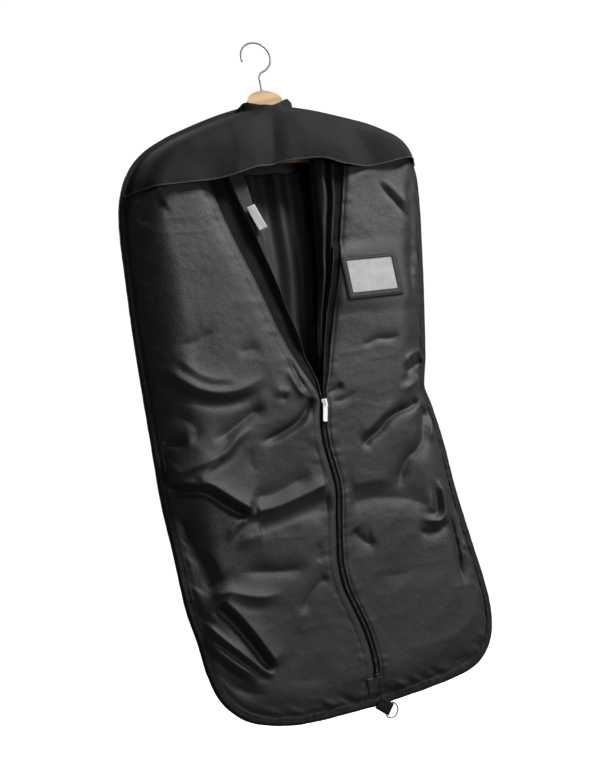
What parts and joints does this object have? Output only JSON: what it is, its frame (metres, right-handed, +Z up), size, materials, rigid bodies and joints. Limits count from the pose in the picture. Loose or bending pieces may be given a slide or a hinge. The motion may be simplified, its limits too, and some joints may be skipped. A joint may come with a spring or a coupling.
{
  "type": "garment bag",
  "caption": "Soft bag that holds a suit on its wooden hanger, with a front zip, shoulder yoke, card pocket, and a fold across the middle for carrying.",
  "frame": {"origin": "inside of the hook's bend, where a rail carries the bag", "axes": "+Z up; the front with the zip faces -Y; +X is to the right of a person facing the front"},
  "size_m": [0.6223, 0.0813, 1.2913],
  "materials": {
    "nylon": "dark charcoal woven nylon with a soft sheen",
    "back_nylon": "plain charcoal woven nylon",
    "yoke_cloth": "matte near-black woven cloth",
    "piping": "stitched dark grey piping",
    "binding": "black folded binding tape, stitched",
    "zip_tape": "black knitted zip tape",
    "zip_coil": "black moulded coil",
    "lining": "dark grey lining",
    "label": "plain white woven tape",
    "window": "clear flexible vinyl",
    "card": "plain silver grey card",
    "birch": "pale lacquered birch",
    "chrome": "polished",
    "steel": "satin",
    "slider": "bright plated",
    "webbing": "black ribbed webbing",
    "ring": "dark gunmetal plated"
  },
  "bodies": {
    "bag_upper": {"back_panel_upper": "back_nylon", "front_panel_upper_left": "nylon", "front_panel_upper_right": "nylon", "shoulder_yoke": "yoke_cloth", "yoke_hem_piping": "piping", "neck_binding": "binding", "edge_binding_upper_left": "binding", "edge_binding_upper_right": "binding", "inner_facing_left": "lining", "inner_facing_right": "lining", "care_label": "label", "zip_tape_upper_left": "zip_tape", "zip_tape_upper_right": "zip_tape", "zip_coil_upper_left": "zip_coil", "zip_coil_upper_right": "zip_coil", "zip_top_stop_left": "steel", "zip_top_stop_right": "steel", "pocket_frame": "binding", "pocket_window": "window", "hanger_neck": "birch", "hanger_arm_left": "birch", "hanger_arm_right": "birch", "bar_bracket_left": "steel", "bar_bracket_right": "steel", "trouser_bar": "birch", "hook_ferrule": "chrome"},
    "hook": {"hook": "chrome"},
    "card": {"card_insert": "card"},
    "bag_lower": {"back_panel_lower": "back_nylon", "front_panel_lower_left": "nylon", "front_panel_lower_right": "nylon", "edge_binding_lower_left": "binding", "edge_binding_lower_right": "binding", "edge_binding_foot": "binding", "zip_tape_lower_left": "zip_tape", "zip_tape_lower_right": "zip_tape", "zip_coil_lower_left": "zip_coil", "zip_coil_lower_right": "zip_coil", "zip_bottom_stop": "steel", "zip_end_patch": "nylon"},
    "slider": {"slider_body": "slider"},
    "pull": {"pull_tab": "slider"},
    "webbing": {"webbing_loop": "webbing"},
    "ring": {"d_ring": "ring"}
  },
  "joints": [
    {"name": "hook_swivel", "type": "hinge", "parent": "bag_upper", "child": "hook", "pos_m": [0, 0, -0.11], "axis": [0, 0, 1], "continuous": true},
    {"name": "card_slide", "type": "slide", "parent": "bag_upper", "child": "card", "axis": [-0.0262, -0.0012, 0.9997], "range_m": [0, 0.034]},
    {"name": "bag_fold", "type": "hinge", "parent": "bag_upper", "child": "bag_lower", "pos_m": [0, 0.0226, -0.688], "axis": [1, 0, 0], "range_deg": [0, 175]},
    {"name": "slider_travel", "type": "slide", "parent": "bag_lower", "child": "slider", "axis": [0.0439, 0.0698, -0.9966], "range_m": [0, 0.482]},
    {"name": "pull_swing", "type": "hinge", "parent": "slider", "child": "pull", "pos_m": [-0.00353, -0.04366, -0.71574], "axis": [-0.9863, -0.0145, 0.1642], "range_deg": [0, 130]},
    {"name": "tab_swing", "type": "hinge", "parent": "bag_lower", "child": "webbing", "pos_m": [0.0175, 0.006, -1.2555], "axis": [-0.6428, 0, -0.766], "range_deg": [0, 60]},
    {"name": "ring_swing", "type": "hinge", "parent": "webbing", "child": "ring", "pos_m": [0.03474, 0.006, -1.26996], "axis": [0.6428, 0, 0.766], "range_deg": [-75, 75]}
  ]
}
